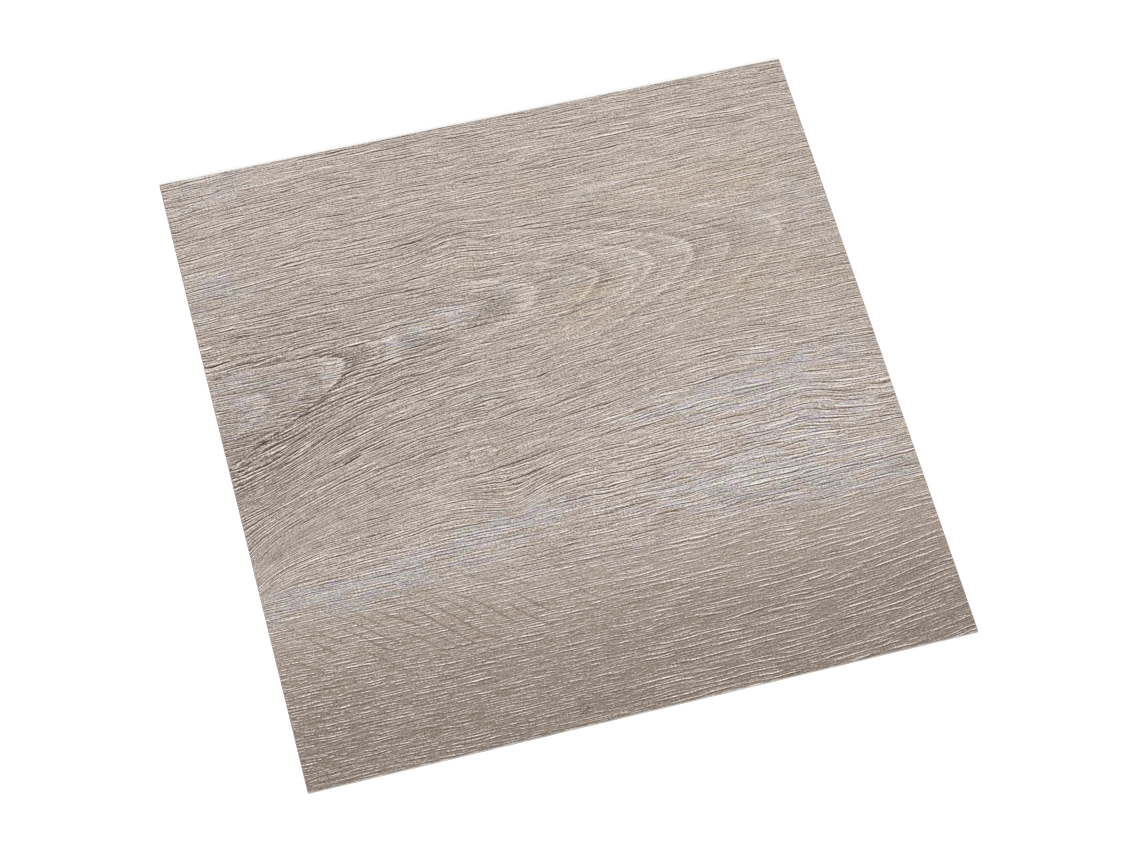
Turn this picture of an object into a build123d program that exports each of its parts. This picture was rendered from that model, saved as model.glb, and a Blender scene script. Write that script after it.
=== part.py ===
"""Square vinyl floor tile, one calendered sheet, lying flat with its wear face up.

The wear layer, the printed film and the filled base are pressed into one sheet, so the
tile is one solid. X runs along the printed grain, Y across it and Z up. The origin is the
centre of the glued underside, which is the plane of the subfloor.
"""

import os

from build123d import *

# Driving sizes, in millimetres
TILE_LENGTH = 305.0  # along the grain, the 12 inch module
TILE_WIDTH = 305.0  # across the grain, the same module
TILE_THICKNESS = 1.5  # the whole sheet, wear face to underside
CORNER_RADIUS = 0.5  # left by the cutting die at the four corners
WEAR_EDGE_RADIUS = 0.2  # rounding that the die presses round the wear face


def die_cut_blank() -> Part:
    """The sheet as the die cuts it: straight sides, small rounded corners."""
    outline = RectangleRounded(TILE_LENGTH, TILE_WIDTH, CORNER_RADIUS)
    return extrude(outline, TILE_THICKNESS)


def vinyl_tile() -> Part:
    """The finished tile, with the rim of its wear face rounded."""
    blank = die_cut_blank()
    wear_rim = blank.faces().sort_by(Axis.Z)[-1].edges()
    tile = fillet(wear_rim, WEAR_EDGE_RADIUS)
    tile.label = "vinyl_tile"
    return tile


os.makedirs("parts", exist_ok=True)
export_step(vinyl_tile(), "parts/vinyl_tile.step")
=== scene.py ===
"""Looks of a square vinyl floor tile: an embossed, printed oak sheet lying flat on a pale floor.

The wear face carries a printed oak figure and, in register with it, pressed pores. Both follow
one set of fibre lines, so the sheet's mesh, the embossing tree and the printed material read the
same grain coordinates. Lengths named in millimetres are turned to metres where the mesh is made.
"""

import logging
import math
from dataclasses import dataclass
from enum import Enum

import bpy
import numpy as np
from mathutils import Matrix, Vector


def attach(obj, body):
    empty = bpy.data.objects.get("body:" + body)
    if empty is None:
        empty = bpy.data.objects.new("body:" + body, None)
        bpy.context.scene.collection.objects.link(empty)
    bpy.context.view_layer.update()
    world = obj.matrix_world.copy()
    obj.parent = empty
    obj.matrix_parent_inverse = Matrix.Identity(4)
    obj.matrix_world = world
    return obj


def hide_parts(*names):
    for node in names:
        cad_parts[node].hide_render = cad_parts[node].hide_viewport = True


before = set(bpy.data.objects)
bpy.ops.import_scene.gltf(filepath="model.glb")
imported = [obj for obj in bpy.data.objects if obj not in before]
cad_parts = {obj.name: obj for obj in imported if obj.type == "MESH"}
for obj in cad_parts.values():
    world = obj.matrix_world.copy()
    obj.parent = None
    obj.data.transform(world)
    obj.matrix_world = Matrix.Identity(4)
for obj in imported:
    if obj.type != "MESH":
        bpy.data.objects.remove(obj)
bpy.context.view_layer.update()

log = logging.getLogger("vinyl_tile")

MM = 0.001
FLAT_MM = (1.0 / MM, 1.0 / MM, 0.0)  # metres to millimetres, with the height left out
TINY_MM = 1e-6  # two lengths closer than this are the same
WHITE = (1.0, 1.0, 1.0, 1.0)
Socket = bpy.types.NodeSocket
Value = Socket | float | tuple[float, ...]


class TreeKind(Enum):
    """The two kinds of node tree that the pressed and printed grain share."""

    SHADER = "ShaderNodeTree"
    GEOMETRY = "GeometryNodeTree"


class SocketKind(Enum):
    """The kinds of socket on the outside of a node group."""

    NUMBER = "NodeSocketFloat"
    VECTOR = "NodeSocketVector"
    MESH = "NodeSocketGeometry"
    MATERIAL = "NodeSocketMaterial"


def tone(red: float, green: float, blue: float) -> tuple[float, float, float, float]:
    """Turns a colour as a screen shows it into the linear colour that a shader takes.

    Args:
        red: Red, from 0 to 255.
        green: Green, from 0 to 255.
        blue: Blue, from 0 to 255.

    Returns:
        The linear colour with full alpha.
    """
    levels = [channel / 255.0 for channel in (red, green, blue)]
    linear = [c / 12.92 if c <= 0.04045 else ((c + 0.055) / 1.055) ** 2.4 for c in levels]
    return (linear[0], linear[1], linear[2], 1.0)


def blank_material(name: str) -> bpy.types.Material:
    """Makes a material with an empty shader tree.

    Args:
        name: The material's name.

    Returns:
        The material.
    """
    material = bpy.data.materials.new(name)
    material.use_nodes = True
    material.node_tree.nodes.clear()
    return material


def placed(name: str, data: bpy.types.ID) -> bpy.types.Object:
    """Makes an object and links it to the scene.

    Args:
        name: The object's name.
        data: Its mesh, light or camera.

    Returns:
        The object, at the origin.
    """
    thing = bpy.data.objects.new(name, data)
    bpy.context.scene.collection.objects.link(thing)
    return thing


@dataclass(frozen=True)
class Slope:
    """Two values, and the levels that a smooth rise or fall between them starts and ends at."""

    low: float
    high: float
    bottom: float = 0.0
    top: float = 1.0


@dataclass(frozen=True)
class Cells:
    """Noise: the size of its cells along and across, in millimetres, and its finer octaves."""

    along: float
    across: float
    detail: float = 0.0


class Wiring:
    """Adds nodes to one tree and joins them, with the same calls for both kinds of tree."""

    def __init__(self, tree: bpy.types.NodeTree) -> None:
        """Keeps the tree that the nodes go into."""
        self.tree = tree

    def put(self, kind: str, **settings: object) -> bpy.types.Node:
        """Adds one node.

        Args:
            kind: The node's type.
            **settings: The node's own properties.

        Returns:
            The new node.
        """
        node = self.tree.nodes.new(kind)
        for name, value in settings.items():
            setattr(node, name, value)
        return node

    def feed(self, socket: Socket, value: Value) -> None:
        """Joins a socket to another, or sets its value.

        Args:
            socket: The input.
            value: A socket to join, or a plain value.
        """
        if isinstance(value, bpy.types.NodeSocket):
            self.tree.links.new(value, socket)
        else:
            socket.default_value = value

    def math(self, operation: str, first: Value, second: Value = 0.0, clamp: bool = False) -> Socket:
        """Adds one Math node.

        Args:
            operation: The node's operation.
            first: The first number.
            second: The second number, where the operation has one.
            clamp: Whether the result is held between 0 and 1.

        Returns:
            The result.
        """
        node = self.put("ShaderNodeMath", operation=operation, use_clamp=clamp)
        self.feed(node.inputs[0], first)
        self.feed(node.inputs[1], second)
        return node.outputs[0]

    def times(self, value: Value, gain: Value, clamp: bool = False) -> Socket:
        """A value times a gain, held between 0 and 1 if clamped."""
        return self.math("MULTIPLY", value, gain, clamp)

    def plus(self, first: Value, second: Value, clamp: bool = False) -> Socket:
        """The sum of two numbers, held between 0 and 1 if clamped."""
        return self.math("ADD", first, second, clamp)

    def minus(self, first: Value, second: Value) -> Socket:
        """The first number less the second."""
        return self.math("SUBTRACT", first, second)

    def over(self, value: Value, divisor: Value) -> Socket:
        """A value divided by another."""
        return self.math("DIVIDE", value, divisor)

    def total(self, terms: list[Value]) -> Socket:
        """Adds any number of numbers.

        Args:
            terms: The numbers, at least two.

        Returns:
            Their sum.
        """
        result = terms[0]
        for term in terms[1:]:
            result = self.plus(result, term)
        return result

    def vector(self, operation: str, first: Value, second: Value = (0.0, 0.0, 0.0)) -> Socket:
        """Adds one Vector Math node.

        Args:
            operation: The node's operation.
            first: The first vector.
            second: The second vector, where the operation has one.

        Returns:
            The result, which is a number for a dot product and a vector otherwise.
        """
        node = self.put("ShaderNodeVectorMath", operation=operation)
        self.feed(node.inputs[0], first)
        self.feed(node.inputs[1], second)
        return node.outputs["Value" if operation == "DOT_PRODUCT" else "Vector"]

    def combine(self, x: Value, y: Value, z: Value = 0.0) -> Socket:
        """Makes a vector of three numbers.

        Args:
            x: The number along.
            y: The number across.
            z: The number up.

        Returns:
            The vector.
        """
        node = self.put("ShaderNodeCombineXYZ")
        for socket, value in zip(node.inputs, (x, y, z)):
            self.feed(socket, value)
        return node.outputs[0]

    def split(self, value: Value) -> tuple[Socket, Socket, Socket]:
        """Parts a vector into its three numbers.

        Args:
            value: The vector.

        Returns:
            The numbers along, across and up.
        """
        node = self.put("ShaderNodeSeparateXYZ")
        self.feed(node.inputs[0], value)
        return node.outputs[0], node.outputs[1], node.outputs[2]

    def noise(self, place: Value, detail: float = 0.0, roughness: float = 0.5) -> Socket:
        """Adds flat noise of one cell to each unit of place.

        Args:
            place: The place.
            detail: How many finer octaves are added.
            roughness: How strong each finer octave is beside the one before.

        Returns:
            The noise, around 0.5.
        """
        node = self.put("ShaderNodeTexNoise", noise_dimensions="2D")
        self.feed(node.inputs["Vector"], place)
        self.feed(node.inputs["Scale"], 1.0)
        self.feed(node.inputs["Detail"], detail)
        self.feed(node.inputs["Roughness"], roughness)
        return node.outputs[0]

    def spread(self, place: Value, cells: Cells) -> Socket:
        """Noise around 0 with cells of the given size.

        Args:
            place: The place to read, in millimetres.
            cells: The size of the cells, and the octaves.

        Returns:
            The noise, from about -0.4 to 0.4.
        """
        scaled = self.vector("DIVIDE", place, (cells.along, cells.across, 1.0))
        return self.minus(self.noise(scaled, cells.detail), 0.5)

    def remap(
        self, value: Value, low: Value, high: Value, bottom: Value = 0.0, top: Value = 1.0
    ) -> Socket:
        """Maps low to high smoothly onto bottom to top, and holds the ends.

        Args:
            value: The value.
            low: The value that becomes the bottom level.
            high: The value that becomes the top level.
            bottom: The bottom level.
            top: The top level.

        Returns:
            The level.
        """
        node = self.put("ShaderNodeMapRange", interpolation_type="SMOOTHSTEP")
        for socket, given in zip(node.inputs, (value, low, high, bottom, top)):
            self.feed(socket, given)
        return node.outputs[0]

    def sloped(self, value: Value, slope: Slope) -> Socket:
        """A value's level on a slope."""
        return self.remap(value, slope.low, slope.high, slope.bottom, slope.top)

    def blend(self, share: Value, first: Value, second: Value) -> Socket:
        """Mixes two colours.

        Args:
            share: The share of the second colour.
            first: The first colour.
            second: The second colour.

        Returns:
            The mixed colour.
        """
        node = self.put("ShaderNodeMix", data_type="RGBA")
        for place, value in zip((0, 6, 7), (share, first, second)):
            self.feed(node.inputs[place], value)
        return node.outputs[2]

    def between(self, share: Value, first: Value, second: Value) -> Socket:
        """Mixes two numbers.

        Args:
            share: The share of the second number.
            first: The first number.
            second: The second number.

        Returns:
            The mixed number.
        """
        node = self.put("ShaderNodeMix", data_type="FLOAT")
        for place, value in zip((0, 2, 3), (share, first, second)):
            self.feed(node.inputs[place], value)
        return node.outputs[0]

    def bumped(self, height: Value, strength: float, distance: float) -> Socket:
        """Turns a height into a normal.

        Args:
            height: The height.
            strength: How strongly it bends the normal.
            distance: The length that a height of 1 stands for, in metres.

        Returns:
            The normal.
        """
        node = self.put("ShaderNodeBump")
        self.feed(node.inputs["Strength"], strength)
        self.feed(node.inputs["Distance"], distance)
        self.feed(node.inputs["Height"], height)
        return node.outputs[0]

    def show(self, shader: bpy.types.Node, kind: str = "ShaderNodeOutputMaterial") -> None:
        """Joins a shader to an output of the given kind."""
        self.feed(self.put(kind).inputs["Surface"], shader.outputs[0])

    def use(self, group: bpy.types.NodeTree, **given: Value) -> bpy.types.Node:
        """Places a node group and feeds its inputs.

        Args:
            group: The group.
            **given: The inputs by name, with underscores for spaces.

        Returns:
            The placed group.
        """
        kind = "ShaderNodeGroup" if self.tree.type == "SHADER" else "GeometryNodeGroup"
        node = self.put(kind, node_tree=group)
        for name, value in given.items():
            self.feed(node.inputs[name.replace("_", " ")], value)
        return node


class Group(Wiring):
    """A node group under construction, with its outer sockets."""

    def __init__(
        self,
        name: str,
        kind: TreeKind,
        inputs: dict[str, SocketKind],
        outputs: dict[str, SocketKind],
    ) -> None:
        """Starts an empty group.

        Args:
            name: The group's name.
            kind: The kind of tree.
            inputs: Names and kinds of the inputs, in order.
            outputs: Names and kinds of the outputs, in order.
        """
        super().__init__(bpy.data.node_groups.new(name, kind.value))
        for label, socket in inputs.items():
            self.tree.interface.new_socket(label, in_out="INPUT", socket_type=socket.value)
        for label, socket in outputs.items():
            self.tree.interface.new_socket(label, in_out="OUTPUT", socket_type=socket.value)
        self.given = self.put("NodeGroupInput").outputs
        self.result = self.put("NodeGroupOutput").inputs


@dataclass(frozen=True)
class Bend:
    """One place where the fibre lines are pushed across the grain, in millimetres."""

    centre: tuple[float, float]
    reach: tuple[float, float]
    lift: float
    along_power: float = 2.0
    across_power: float = 2.0

    def push(self, along: np.ndarray, line: np.ndarray) -> np.ndarray:
        """How far the line is pushed at each place.

        Args:
            along: Places along the grain.
            line: The lines' own places across the grain.

        Returns:
            The push across the grain.
        """
        near = np.abs((along - self.centre[0]) / self.reach[0]) ** self.along_power
        beside = np.abs((line - self.centre[1]) / self.reach[1]) ** self.across_power
        return self.lift * np.exp(-near - beside)


@dataclass(frozen=True)
class FibreLines:
    """The lines that pores and fibres follow: straight along X, apart from the bends."""

    # how far from a place its line may start, and how often that span is halved to find it
    bracket: float = 60.0
    halvings: int = 26
    bends: tuple[Bend, ...] = (
        # the sweep down to the branch at the left edge
        Bend((-152.5, -27.0), (17.0, 30.0), -13.0, 1.0, 4.0),
        Bend((-165.0, 11.0), (78.0, 41.0), -20.0, 2.0, 4.0),
        # steeper under the tongue
        Bend((-158.0, 20.0), (45.0, 16.0), -9.0),
        # the two corners and the shoulder on the left
        Bend((-165.0, 125.0), (50.0, 45.0), -5.0),
        Bend((-150.0, -98.0), (75.0, 24.0), 4.0),
        Bend((175.0, -128.0), (58.0, 48.0), 9.0),
        Bend((175.0, 140.0), (60.0, 30.0), -2.5),
        # the kink, and the brow over the cathedral's eye
        Bend((-90.0, 108.0), (7.0, 14.0), 1.2),
        Bend((-27.0, 90.0), (15.0, 15.0), 3.6),
        Bend((2.0, 92.0), (32.0, 14.0), 2.0),
        # the waves below the middle
        Bend((-62.0, -42.0), (20.0, 13.0), 2.0),
        Bend((-33.0, -39.0), (14.0, 8.0), -3.8),
        Bend((2.0, -42.0), (28.0, 14.0), 2.2),
        Bend((62.0, 2.0), (60.0, 20.0), 4.5),
        # over and past the small knot
        Bend((112.0, -33.0), (11.0, 8.0), 2.6),
        Bend((160.0, -41.0), (42.0, 13.0), -4.0, 4.0, 2.0),
        # the rise from the middle to the right
        Bend((150.0, 0.0), (125.0, 66.0), 5.8, 4.0, 4.0),
        Bend((160.0, 98.0), (38.0, 40.0), 2.5),
        Bend((60.0, -26.0), (80.0, 18.0), 3.5, 4.0, 2.0),
        # apart round the small eyes
        Bend((-40.0, -13.4), (7.5, 3.2), 1.7),
        Bend((-40.0, -19.4), (7.5, 3.2), -1.7),
        Bend((-34.0, 9.5), (9.0, 4.0), 1.3),
        Bend((-34.0, 2.5), (9.0, 4.0), -1.3),
    )

    def across(self, along: np.ndarray, line: np.ndarray) -> np.ndarray:
        """Where a line runs.

        Args:
            along: Places along the grain.
            line: The lines' own places across the grain.

        Returns:
            The lines' places across the tile.
        """
        return line + sum(bend.push(along, line) for bend in self.bends)

    def line_at(self, along: np.ndarray, across: np.ndarray) -> np.ndarray:
        """Which line passes through a place, found by halving a bracket.

        Args:
            along: Places along the grain.
            across: Places across the tile.

        Returns:
            The lines' own places across the grain.
        """
        low = across - self.bracket
        high = across + self.bracket
        for _ in range(self.halvings):
            middle = (low + high) / 2.0
            below = self.across(along, middle) < across
            low = np.where(below, middle, low)
            high = np.where(below, high, middle)
        return (low + high) / 2.0


@dataclass(frozen=True)
class Arch:
    """A family of nested growth rings cut into arches, in millimetres and degrees.

    An arch is a hyperbola: the nose is its roundness above and below the axis, the spread is
    how fast its arms fall back, and the widening rounds the nose further along the axis.
    """

    apex: tuple[float, float]
    tilt: float
    nose_above: float
    nose_below: float
    spread: float
    widening: float = 0.0

    def axes(self) -> tuple[tuple[float, float, float], tuple[float, float, float]]:
        """Finds the arches' own axes.

        Returns:
            The unit vectors along the arches' axis and across it.
        """
        turn = math.radians(self.tilt)
        return (
            (math.cos(turn), math.sin(turn), 0.0),
            (-math.sin(turn), math.cos(turn), 0.0),
        )


@dataclass(frozen=True)
class Strokes:
    """A layer of pointed strokes along the fibre lines, in millimetres."""

    length: float
    pitch: float
    rarity: float
    edge: float
    start: tuple[float, float]


@dataclass(frozen=True)
class Rows:
    """A layer of thin broken lines in rows along the fibre lines, in millimetres."""

    length: float
    pitch: float
    width: float
    rarity: float
    start: float


class PoreLayer(Enum):
    """The layers of pores that the print draws."""

    LONG = "long rows"
    SHORT = "short rows"
    DARK = "dark rows"
    DEEP = "deep rows"
    FINE = "fine strokes"


@dataclass(frozen=True)
class OakFigure:
    """The figure that the print and the embossing share."""

    tongue: Arch = Arch((-90.0, 42.5), 14.0, 40.0, 40.0, 12.4)
    cathedral: Arch = Arch((0.0, 58.0), 3.0, 3.0, 8.0, 2.6, 0.10)
    long_rows: Rows = Rows(20.0, 2.1, 0.42, 0.45, 0.37)
    short_rows: Rows = Rows(6.0, 1.14, 0.27, 0.45, 5.11)
    dark_rows: Rows = Rows(14.0, 1.22, 0.33, 0.45, 9.83)
    deep_rows: Rows = Rows(36.0, 2.10, 0.40, 0.44, 3.39)
    fine_strokes: Strokes = Strokes(6.5, 0.66, 0.58, 0.08, (31.7, 47.3))
    # the finer octaves of the noise that strokes are cut from, and their strength
    stroke_octaves: float = 1.0
    stroke_roughness: float = 0.25
    # rows drift: noise cells to a millimetre along and to a row across, and how many rows far
    drift_cells: tuple[float, float] = (0.035, 0.25)
    drift: float = 1.1
    # where a row reads the noise that breaks it, along and across, so that no two break alike
    row_stagger: tuple[float, float] = (13.71, 3.17)
    # how far above its rarity that noise gives a full line
    dash_edge: float = 0.10
    # where a line starts and ends to fade, in shares of half its width
    line_fade: tuple[float, float] = (0.4, 1.5)
    # all fibres waver by this noise and this reach
    waver: Cells = Cells(18.0, 5.0, 1.0)
    waver_reach: float = 1.6
    # the tongue's ragged border, and the ring that it runs on
    border: Cells = Cells(5.0, 2.0)
    border_reach: float = 5.0
    border_ring: Slope = Slope(2.3, 2.7, 1.0, 0.0)
    # keeps the tongue's level fibres from carrying on the pores outside it
    tongue_shift: tuple[float, float, float] = (0.0, 211.0, 0.0)

    def sizes(self, layer: PoreLayer) -> Strokes | Rows:
        """The sizes of one layer of pores."""
        return {
            PoreLayer.LONG: self.long_rows,
            PoreLayer.SHORT: self.short_rows,
            PoreLayer.DARK: self.dark_rows,
            PoreLayer.DEEP: self.deep_rows,
            PoreLayer.FINE: self.fine_strokes,
        }[layer]

    def stroke_group(self, kind: TreeKind) -> bpy.types.NodeTree:
        """Builds the group that draws one layer of strokes.

        Args:
            kind: The kind of tree.

        Returns:
            The group, from fibre place to a mask.
        """
        number = SocketKind.NUMBER
        vector = SocketKind.VECTOR
        group = Group(
            f"pore strokes {kind.name.lower()}",
            kind,
            {"Fibre": vector, "Shift": vector, "Cell": vector, "Rarity": number, "Edge": number},
            {"Mask": number},
        )
        given = group.given
        shifted = group.vector("SUBTRACT", given["Fibre"], given["Shift"])
        cells = group.vector("DIVIDE", shifted, given["Cell"])
        grains = group.noise(cells, self.stroke_octaves, self.stroke_roughness)
        full = group.plus(given["Rarity"], given["Edge"])
        group.feed(group.result["Mask"], group.remap(grains, given["Rarity"], full))
        return group.tree

    def row_group(self, kind: TreeKind) -> bpy.types.NodeTree:
        """Builds the group that draws one layer of broken lines in rows.

        Args:
            kind: The kind of tree.

        Returns:
            The group, from fibre place to a mask.
        """
        number = SocketKind.NUMBER
        sizes = ("Pitch", "Length", "Width", "Rarity", "Start")
        group = Group(
            f"pore rows {kind.name.lower()}",
            kind,
            {"Fibre": SocketKind.VECTOR} | {size: number for size in sizes},
            {"Mask": number},
        )
        given = group.given
        along, across, _ = group.split(given["Fibre"])
        level = group.plus(group.over(across, given["Pitch"]), given["Start"])
        cell_along, cell_across = self.drift_cells
        drift = group.noise(
            group.combine(group.times(along, cell_along), group.times(level, cell_across))
        )
        level = group.plus(level, group.times(drift, self.drift))
        row = group.math("ROUND", level)
        off = group.times(group.math("ABSOLUTE", group.minus(level, row)), given["Pitch"])
        stagger_along, stagger_across = self.row_stagger
        run = group.over(along, given["Length"])
        run = group.plus(run, group.times(row, stagger_along))
        dash = group.noise(group.combine(run, group.times(row, stagger_across)))
        dash = group.remap(dash, given["Rarity"], group.plus(given["Rarity"], self.dash_edge))
        half = group.times(given["Width"], 0.5)
        core, end = (group.times(half, share) for share in self.line_fade)
        line = group.remap(off, core, end, 1.0, 0.0)
        group.feed(group.result["Mask"], group.times(line, dash))
        return group.tree

    def fibre_group(self, kind: TreeKind) -> bpy.types.NodeTree:
        """Builds the group that finds the fibre place: lines outside the tongue, level inside it.

        Args:
            kind: The kind of tree.

        Returns:
            The group, from the place and the grain coordinates to the fibre place.
        """
        number = SocketKind.NUMBER
        vector = SocketKind.VECTOR
        group = Group(
            f"fibre place {kind.name.lower()}",
            kind,
            {"Place": vector, "Grain": vector},
            {"Fibre": vector, "Tongue Ring": number},
        )
        place = group.given["Place"]
        ring = group.use(
            self.arch_group(kind), Place=place, **self.arch_values(self.tongue)
        ).outputs["Ring"]
        torn = group.noise(
            group.vector("DIVIDE", place, (self.border.along, self.border.across, 1.0))
        )
        border = group.plus(ring, group.times(torn, self.border_reach))
        inside = group.sloped(border, self.border_ring)
        fibre = group.put("ShaderNodeMix", data_type="VECTOR")
        group.feed(fibre.inputs[0], inside)
        group.feed(fibre.inputs[4], group.given["Grain"])
        group.feed(fibre.inputs[5], group.vector("ADD", place, self.tongue_shift))
        level = fibre.outputs[1]
        sway = group.times(group.spread(level, self.waver), self.waver_reach)
        swayed = group.vector("ADD", level, group.combine(0.0, sway))
        group.feed(group.result["Fibre"], swayed)
        group.feed(group.result["Tongue Ring"], border)
        return group.tree

    def arch_group(self, kind: TreeKind) -> bpy.types.NodeTree:
        """Builds the group that numbers the rings of an arch by the place of their apex.

        Args:
            kind: The kind of tree.

        Returns:
            The group, from a place to its ring.
        """
        name = f"arch rings {kind.name.lower()}"
        if name in bpy.data.node_groups:
            return bpy.data.node_groups[name]
        number = SocketKind.NUMBER
        vectors = ("Place", "Apex", "Along", "Across")
        sizes = ("Nose Above", "Nose Below", "Spread", "Widening")
        group = Group(
            name,
            kind,
            {label: SocketKind.VECTOR for label in vectors} | {label: number for label in sizes},
            {"Ring": number},
        )
        given = group.given
        offset = group.vector("SUBTRACT", given["Place"], given["Apex"])
        along = group.vector("DOT_PRODUCT", offset, given["Along"])
        off_axis = group.vector("DOT_PRODUCT", offset, given["Across"])
        above = group.math("GREATER_THAN", off_axis, 0.0)
        nose = group.between(above, given["Nose Below"], given["Nose Above"])
        wider = group.math("MAXIMUM", group.times(along, given["Widening"]), 0.0)
        nose = group.plus(nose, wider)
        squares = group.plus(group.times(nose, nose), group.times(off_axis, off_axis))
        arm = group.times(group.minus(group.math("SQRT", squares), nose), given["Spread"])
        group.feed(group.result["Ring"], group.plus(along, arm))
        return group.tree

    @staticmethod
    def arch_values(arch: Arch) -> dict[str, Value]:
        """Names the inputs of the arch group for one arch.

        Args:
            arch: The arch.

        Returns:
            The values by input.
        """
        along, across = arch.axes()
        return {
            "Apex": (*arch.apex, 0.0),
            "Along": along,
            "Across": across,
            "Nose_Above": arch.nose_above,
            "Nose_Below": arch.nose_below,
            "Spread": arch.spread,
            "Widening": arch.widening,
        }

    @staticmethod
    def row_values(rows: Rows, raise_by: float = 0.0) -> dict[str, Value]:
        """Names the inputs of the row group for one layer.

        Args:
            rows: The layer.
            raise_by: How far the lines are raised across the grain.

        Returns:
            The values by input.
        """
        return {
            "Pitch": rows.pitch,
            "Length": rows.length,
            "Width": rows.width,
            "Rarity": rows.rarity,
            "Start": rows.start - raise_by / rows.pitch,
        }

    @staticmethod
    def stroke_values(strokes: Strokes, raise_by: float = 0.0) -> dict[str, Value]:
        """Names the inputs of the stroke group for one layer.

        Args:
            strokes: The layer.
            raise_by: How far the strokes are raised across the grain.

        Returns:
            The values by input.
        """
        return {
            "Shift": (strokes.start[0], strokes.start[1] + raise_by, 0.0),
            "Cell": (strokes.length, strokes.pitch, 1.0),
            "Rarity": strokes.rarity,
            "Edge": strokes.edge,
        }


@dataclass(frozen=True)
class Embossing:
    """The press plate's relief, pushed down into the wear face, in millimetres."""

    figure: OakFigure
    long_depth: float = 0.11
    pore_depth: float = 0.07
    swell_depth: float = 0.05
    swell: Cells = Cells(40.0, 3.2, 1.0)
    # how deep the pores are pressed, from the front band to the rest of the face
    upper_share: Slope = Slope(-92.0, -62.0, 0.15, 1.0)

    def tree(self) -> bpy.types.NodeTree:
        """Builds the geometry tree that presses the pores and gives the faces their materials.

        Returns:
            The tree, with its sizes and materials as named inputs.
        """
        number = SocketKind.NUMBER
        group = Group(
            "pressed oak pores",
            TreeKind.GEOMETRY,
            {
                "Sheet": SocketKind.MESH,
                "Long Depth": number,
                "Pore Depth": number,
                "Swell Depth": number,
                "Print": SocketKind.MATERIAL,
                "Body": SocketKind.MATERIAL,
            },
            {"Sheet": SocketKind.MESH},
        )
        given = group.given
        pressed_share = self.attribute(group, "pressed_share", "FLOAT")
        down = group.times(group.times(self.depth(group), pressed_share), -MM)
        moved = group.put("GeometryNodeSetPosition")
        group.feed(moved.inputs["Geometry"], given["Sheet"])
        group.feed(moved.inputs["Offset"], group.combine(0.0, 0.0, down))
        body = group.put("GeometryNodeSetMaterial")
        group.feed(body.inputs["Geometry"], moved.outputs[0])
        group.feed(body.inputs["Material"], given["Body"])
        face = group.put("GeometryNodeSetMaterial")
        group.feed(face.inputs["Geometry"], body.outputs[0])
        group.feed(face.inputs["Selection"], self.attribute(group, "wear_face", "BOOLEAN"))
        group.feed(face.inputs["Material"], given["Print"])
        real = group.put("GeometryNodeRealizeInstances")
        group.feed(real.inputs[0], face.outputs[0])
        group.feed(group.result["Sheet"], real.outputs[0])
        return group.tree

    def depth(self, group: Group) -> Socket:
        """Adds up the depth of the pores and the swells.

        Args:
            group: The geometry tree, with its depths as inputs.

        Returns:
            The depth, in millimetres.
        """
        figure = self.figure
        where = group.put("GeometryNodeInputPosition").outputs[0]
        place = group.vector("MULTIPLY", where, FLAT_MM)
        grain = self.attribute(group, "grain", "FLOAT_VECTOR")
        fibres = figure.fibre_group(TreeKind.GEOMETRY)
        fibre = group.use(fibres, Place=place, Grain=grain).outputs["Fibre"]
        rows = figure.row_group(TreeKind.GEOMETRY)
        long_mask, deep_mask, dark_mask = [
            group.use(rows, Fibre=fibre, **figure.row_values(layer)).outputs[0]
            for layer in (figure.long_rows, figure.deep_rows, figure.dark_rows)
        ]
        upper = group.sloped(group.split(fibre)[1], self.upper_share)
        pore_mask = group.times(group.plus(deep_mask, dark_mask), upper)
        swell_size = (self.swell.along, self.swell.across, 1.0)
        swell = group.noise(group.vector("DIVIDE", fibre, swell_size), self.swell.detail)
        return group.total(
            [
                group.times(long_mask, group.given["Long Depth"]),
                group.times(pore_mask, group.given["Pore Depth"]),
                group.times(swell, group.given["Swell Depth"]),
            ]
        )

    @staticmethod
    def attribute(group: Group, name: str, kind: str) -> Socket:
        """Reads one of the sheet's own attributes.

        Args:
            group: The geometry tree.
            name: The attribute's name.
            kind: Its type of data.

        Returns:
            The attribute.
        """
        node = group.put("GeometryNodeInputNamedAttribute", data_type=kind)
        node.inputs["Name"].default_value = name
        return node.outputs["Attribute"]

    def press(
        self, sheet: bpy.types.Object, print_finish: bpy.types.Material, body: bpy.types.Material
    ) -> None:
        """Presses the relief into the sheet and leaves a plain mesh.

        Args:
            sheet: The flat sheet, with its grain attributes.
            print_finish: The material of the wear face.
            body: The material of the edges and the underside.
        """
        tree = self.tree()
        modifier = sheet.modifiers.new("press", "NODES")
        modifier.node_group = tree
        values = {
            "Long Depth": self.long_depth,
            "Pore Depth": self.pore_depth,
            "Swell Depth": self.swell_depth,
            "Print": print_finish,
            "Body": body,
        }
        for item in tree.interface.items_tree:
            if item.in_out == "INPUT" and item.name in values:
                modifier[item.identifier] = values[item.name]
        bpy.context.view_layer.update()
        evaluated = sheet.evaluated_get(bpy.context.evaluated_depsgraph_get())
        pressed = bpy.data.meshes.new_from_object(evaluated)
        sheet.modifiers.clear()
        flat = sheet.data
        sheet.data = pressed
        pressed.name = sheet.name
        bpy.data.meshes.remove(flat)


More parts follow.
